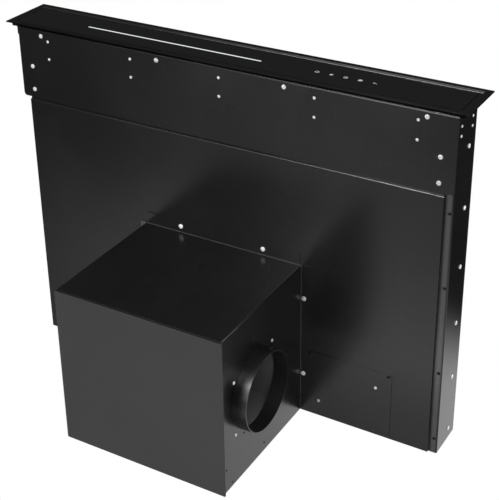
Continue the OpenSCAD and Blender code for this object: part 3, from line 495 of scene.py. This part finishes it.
def solids_of(node):
    """Lowest and highest corner of each separate solid of a node."""
    work = bmesh.new()
    work.from_mesh(frame["nodes"][node].data)
    bmesh.ops.remove_doubles(work, verts=work.verts, dist=WELD)
    left, found = set(work.verts), []
    while left:
        todo, group = [left.pop()], []
        while todo:
            vert = todo.pop()
            group.append(vert.co.copy())
            for edge in vert.link_edges:
                other = edge.other_vert(vert)
                if other in left:
                    left.discard(other)
                    todo.append(other)
        found.append((Vector([min(c[i] for c in group) for i in range(3)]),
                      Vector([max(c[i] for c in group) for i in range(3)])))
    work.free()
    return sorted(found, key=lambda pair: tuple(round(v, 6) for v in pair[0]))


def turned(outline, steps=28):
    """Spins an outline of (radius, height) points round Z into a closed shape."""
    work = bmesh.new()
    verts = [work.verts.new((r, 0, z)) for r, z in outline]
    edges = [work.edges.new(pair) for pair in zip(verts, verts[1:])]
    bmesh.ops.spin(work, geom=verts + edges, cent=(0, 0, 0), axis=(0, 0, 1),
                   angle=2 * math.pi, steps=steps, use_merge=True)
    bmesh.ops.remove_doubles(work, verts=work.verts, dist=1e-7)
    bmesh.ops.recalc_face_normals(work, faces=work.faces)
    return work


def carve(work, cutters):
    """Cuts closed shapes out of a bmesh and returns the result."""
    def as_object(source, name):
        mesh = bpy.data.meshes.new(name)
        source.to_mesh(mesh)
        source.free()
        made = bpy.data.objects.new(name, mesh)
        scene.collection.objects.link(made)
        return made
    base = as_object(work, "blank")
    tools = [as_object(c, "cutter") for c in cutters]
    for tool in tools:
        cut = base.modifiers.new("cut", "BOOLEAN")
        cut.operation, cut.solver, cut.object = "DIFFERENCE", "EXACT", tool
    bpy.context.view_layer.update()
    graph = bpy.context.evaluated_depsgraph_get()
    result = bmesh.new()
    result.from_mesh(base.evaluated_get(graph).to_mesh())
    for made in [base] + tools:
        bpy.data.objects.remove(made)
    return result


def slab(size, at=(0, 0, 0), twist=0.0):
    """A block of the given size about a point, turned about Z."""
    work = bmesh.new()
    bmesh.ops.create_cube(work, size=1.0)
    bmesh.ops.scale(work, vec=size, verts=work.verts)
    bmesh.ops.rotate(work, cent=(0, 0, 0), matrix=Matrix.Rotation(twist, 3, "Z"),
                     verts=work.verts)
    bmesh.ops.translate(work, vec=at, verts=work.verts)
    return work


def joined(parts):
    """One bmesh out of several, each with its own placing matrix."""
    whole = bmesh.new()
    for work, placing in parts:
        mesh = bpy.data.meshes.new("part")
        work.to_mesh(mesh)
        mesh.transform(placing)
        whole.from_mesh(mesh)
        bpy.data.meshes.remove(mesh)
    return whole


# Screw and rivet heads.

def cross_recess_head():
    """A pan head of radius 1 with a tapered cross recess, on a short shank."""
    blank = turned([(0, -0.7), (0.44, -0.7), (0.44, 0), (1.0, 0), (1.0, 0.12),
                    (0.97, 0.24), (0.86, 0.36), (0.66, 0.45), (0.4, 0.495), (0, 0.5)])
    tools = []
    for twist in (0.3, 0.3 + math.pi / 2):
        tool = slab((1.1, 0.3, 0.7), (0, 0, 0.5), twist)
        low = [v for v in tool.verts if v.co.z < 0.3]
        bmesh.ops.scale(tool, vec=(0.45, 0.45, 1), verts=low)
        tools.append(tool)
    return carve(blank, tools)


def rivet_head():
    """A blind rivet of radius 1 with the pulled stem's dimple."""
    return turned([(0, -0.6), (0.42, -0.6), (0.42, 0), (1.0, 0), (1.0, 0.1),
                   (0.9, 0.28), (0.66, 0.42), (0.36, 0.48), (0.3, 0.4), (0.26, 0.26),
                   (0.0, 0.24)])


def dress_fasteners(node, head, towards, finish=None, pick=None, name="heads"):
    """Puts a detailed head on each of the node's fasteners."""
    parts = []
    for index, (low, high) in enumerate(solids_of(node)):
        if pick is not None and not pick(low, high):
            continue
        middle = (low + high) / 2
        if towards == "front":
            radius = (high.x - low.x) / 2
            seat = Vector((middle.x, low.y + radius * 0.5, middle.z))
            turn = Matrix.Rotation(math.radians(90), 4, "X")
        elif towards == "rear":
            radius = (high.x - low.x) / 2
            seat = Vector((middle.x, high.y - radius * 0.5, middle.z))
            turn = Matrix.Rotation(math.radians(-90), 4, "X")
        else:
            radius = (high.z - low.z) / 2
            seat = Vector((high.x - radius * 0.5, middle.y, middle.z))
            turn = Matrix.Rotation(math.radians(90), 4, "Y")
        spin = Matrix.Rotation(index * GOLDEN_TURN, 4, "Z")
        parts.append((head.copy(), Matrix.Translation(seat) @ turn @ spin
                      @ Matrix.Scale(radius, 4)))
    piece = settle(node + "_" + name, joined(parts), finish or FINISHES[node], node, 50)
    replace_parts(piece, node)


cross = cross_recess_head()
rivet = rivet_head()
dress_fasteners("band_screws", cross, "front")
dress_fasteners("flange_screws", cross, "front")
dress_fasteners("strip_screws", cross, "front")
dress_fasteners("side_screws", cross, "right")
dress_fasteners("spigot_screws", cross, "right")
dress_fasteners("band_rivets", rivet, "front")
dress_fasteners("case_rivets", rivet, "right",
                pick=lambda low, high: high.y < -40 * MM)
dress_fasteners("case_rivets", rivet, "rear",
                pick=lambda low, high: low.y > 0, name="rear_heads")
upper_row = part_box("access_plate")[1].z - 12 * MM
dress_fasteners("access_screws", cross, "front", DARK_SCREW,
                lambda low, high: low.z > upper_row, "upper_heads")
dress_fasteners("access_screws", cross, "front",
                pick=lambda low, high: low.z <= upper_row)


# Sheet edges and the bend at the motor box's flange.

FOLD_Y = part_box("blower_case")[1].y - FLANGE_SHEET


def flange_fold(edge):
    """Whether an edge is one of the long inner folds of the motor box's flange."""
    return (not edge.is_convex and edge.calc_length() > 100 * MM
            and all(abs(v.co.y - FOLD_Y) < 0.1 * MM for v in edge.verts))


softened("top_plate", 0.3)
softened("support_frame", 0.3)
softened("rear_trim", 0.3)
softened("front_band", 0.7)
softened("lower_front_panel", 0.5)
softened("side_cover", 0.35)
softened("access_plate", 0.3)
softened("blower_case", 0.5, flange_fold, 2.5)
softened("blower_front_cover", 0.6)
softened("outlet_spigot", 0.7)
softened("left_cheek", 0.35)
softened("rear_panel", 0.35)


# Signs printed in the lid's touch marks.

def band_ring(outer, inner, tall, share=1.0, start=0.0):
    """A flat ring, or a share of one, standing on the XY plane."""
    work = bmesh.new()
    corners = [(outer, 0), (outer, tall), (inner, tall), (inner, 0)]
    verts = [work.verts.new((r, 0, z)) for r, z in corners]
    edges = [work.edges.new((verts[i], verts[i - 1])) for i in range(4)]
    whole = share >= 1.0
    geometry = verts + edges + ([] if whole else [work.faces.new(verts)])
    bmesh.ops.spin(work, geom=geometry, cent=(0, 0, 0), axis=(0, 0, 1),
                   angle=2 * math.pi * share, steps=30, use_merge=whole)
    bmesh.ops.rotate(work, cent=(0, 0, 0), matrix=Matrix.Rotation(start, 3, "Z"),
                     verts=work.verts)
    bmesh.ops.recalc_face_normals(work, faces=work.faces)
    return work


def touch_signs():
    """Five small signs printed on the glass: on, light, timer, fan and more."""
    tall = 0.05 * MM
    line = 1.1 * MM

    def bar(width, depth, x=0.0, y=0.0, twist=0.0):
        return slab((width * MM, depth * MM, tall),
                    (x * MM, y * MM, tall / 2), math.radians(twist))

    def disc(radius, x=0.0, y=0.0):
        work = turned([(0, 0), (radius * MM, 0), (radius * MM, tall), (0, tall)], 20)
        bmesh.ops.translate(work, vec=(x * MM, y * MM, 0), verts=work.verts)
        return work

    def around(radius, degrees):
        return (radius * math.cos(math.radians(degrees)),
                radius * math.sin(math.radians(degrees)))

    def circle(radius, share=1.0, start=0.0):
        return band_ring(radius * MM, radius * MM - line, tall, share,
                         math.radians(start))

    signs = [
        [circle(3.7, 0.84, 119), bar(0.8, 3.6, 0, 2.4)],
        [disc(2.1)] + [bar(1.2, 0.7, *around(3.2, a), a) for a in range(0, 360, 45)],
        [circle(3.8), bar(0.7, 2.3, 0, 0.9), bar(1.9, 0.7, 0.7, -0.1)],
        [disc(1.0)] + [disc(1.25, *around(2.2, a)) for a in (30, 150, 270)]
        + [circle(3.9)],
        [bar(5.0, 1.1, -1.2), bar(1.1, 5.0, -1.2), disc(0.95, 3.1, -1.6)],
    ]
    parts = []
    for shapes, (low, high) in zip(signs, solids_of("touch_marks")):
        middle = (low + high) / 2
        place = Matrix.Translation((middle.x, middle.y, high.z))
        parts += [(shape, place) for shape in shapes]
    settle("touch_signs", joined(parts), PRINT, "touch_marks")


touch_signs()


# Floor, backdrop and lamps.

def backdrop():
    """White to the camera, a soft grey light to all else, dim low down in mirrors."""
    world = bpy.data.worlds.new("studio")
    world.use_nodes = True
    scene.world = world
    w = Finish("studio", world.node_tree)
    sky = world.node_tree.nodes["Background"]
    is_camera = w.add("LightPath")
    is_glossy = Wire(w, is_camera.socket.node.outputs["Is Glossy Ray"])
    height = w.add("SeparateXYZ", {}, {0: w.add("TexCoord", out=0)}, out=2)
    mirror_sky = height.over(0.25, 0.95) * 0.2 + 0.045
    soft_light = 0.45
    level = is_camera + (1.0 - is_camera) * (
        is_glossy * mirror_sky + (1.0 - is_glossy) * soft_light)
    world.node_tree.links.new(level.socket, sky.inputs["Strength"])
    sky.inputs["Color"].default_value = (1, 1, 1, 1)


def mirrored_floor(f, floor_z):
    """How bright each part of the floor looks in the vent's black paint.

    The floor is lit round the vent and fades away from it. X runs along the
    vent and Y away from the camera, so each line sets what one panel mirrors.
    """
    across, behind, _ = f.axes()
    near = 1.0 - f.distance((0.4, -0.3, floor_z)).over(1.15, 2.35)
    under = across.over(-0.5, -0.1)
    close = under * (1.0 - behind.over(-0.3, 0.3))
    ridge = behind.over(-1.12, -1.02) * (1.0 - behind.over(-0.98, -0.82))
    # The lower front panel, right of the motor box.
    near = near * (1.0 - close * 0.45) * (1.0 + close * ridge * 1.9)
    near = near * (1.0 - close * behind.over(-0.92, -0.75) * 0.4)
    near = near * (1.0 - close * (1.0 - behind.over(-1.3, -1.12)) * 0.25)
    # The foot of the motor box's side.
    foot = behind.over(-0.05, 0.15) * (1.0 - behind.over(0.35, 0.5))
    near = near * (1.0 - foot * 0.2)
    # The lower front panel, left of the motor box, and the box's cover.
    near = near * (1.0 - (1.0 - under) * behind.over(-1.05, -0.85) * 0.66)
    # The upper part of the right side cover.
    near = near * (1.0 - behind.over(0.8, 1.2))
    # A lighter patch that the front band mirrors.
    patch = f.distance((-0.9, -2.2, floor_z))
    return (near + (1.0 - patch.over(0.2, 0.7)) * 0.3) * 0.98 + 0.02


def pale_floor():
    """A floor that the camera sees as white, at some depth below the vent."""
    floor_z = cad_low.z - FLOOR_DROP
    mesh = bpy.data.meshes.new("floor")
    sheet = bmesh.new()
    bmesh.ops.create_grid(sheet, x_segments=1, y_segments=1, size=20)
    bmesh.ops.translate(sheet, vec=(0, 0, floor_z), verts=sheet.verts)
    sheet.to_mesh(mesh)
    sheet.free()
    ground = bpy.data.objects.new("floor", mesh)
    scene.collection.objects.link(ground)

    f = Finish("pale_floor")
    f.set(base_color=(0.8, 0.8, 0.8), roughness=0.9, specular_ior_level=0.0)
    seen = f.add("LightPath")
    mirrored = Wire(f, seen.socket.node.outputs["Is Glossy Ray"])
    glow = f.add("Emission", {}, {0: (1, 1, 1, 1),
                                  1: seen + mirrored * mirrored_floor(f, floor_z)})
    share = seen + mirrored
    mixer = f.add("MixShader", {}, {0: share.math("MINIMUM", share, 1.0)})
    shader_inputs = mixer.socket.node.inputs
    links = f.tree.links
    links.new(f.shader.outputs[0], shader_inputs[1])
    links.new(glow.socket, shader_inputs[2])
    links.new(mixer.socket, f.tree.nodes["Material Output"].inputs["Surface"])
    mesh.materials.append(f.material)


def softboxes():
    """Lamps that all look at the middle of the vent."""
    middle = Vector((0, -0.1, -0.3))
    for name, place, size, watts in (
            ("key_softbox", (1.9, -2.6, 2.6), (2.0, 2.0), 45),
            ("left_softbox", (-0.25, -1.7, 0.75), (0.4, 0.4), 23),
            ("low_softbox", (-0.8, -1.9, -0.15), (1.0, 0.5), 5),
            ("right_softbox", (1.9, 0.9, -0.35), (0.6, 0.6), 14),
            ("rear_softbox", (0.0, 2.6, 2.6), (2.4, 0.8), 16)):
        data = bpy.data.lights.new(name, "AREA")
        data.shape, data.size, data.size_y = "RECTANGLE", *size
        data.energy = watts
        lamp = bpy.data.objects.new(name, data)
        lamp.location = place
        aim = middle - Vector(place)
        lamp.rotation_euler = aim.to_track_quat("-Z", "Y").to_euler()
        scene.collection.objects.link(lamp)


backdrop()
pale_floor()
softboxes()
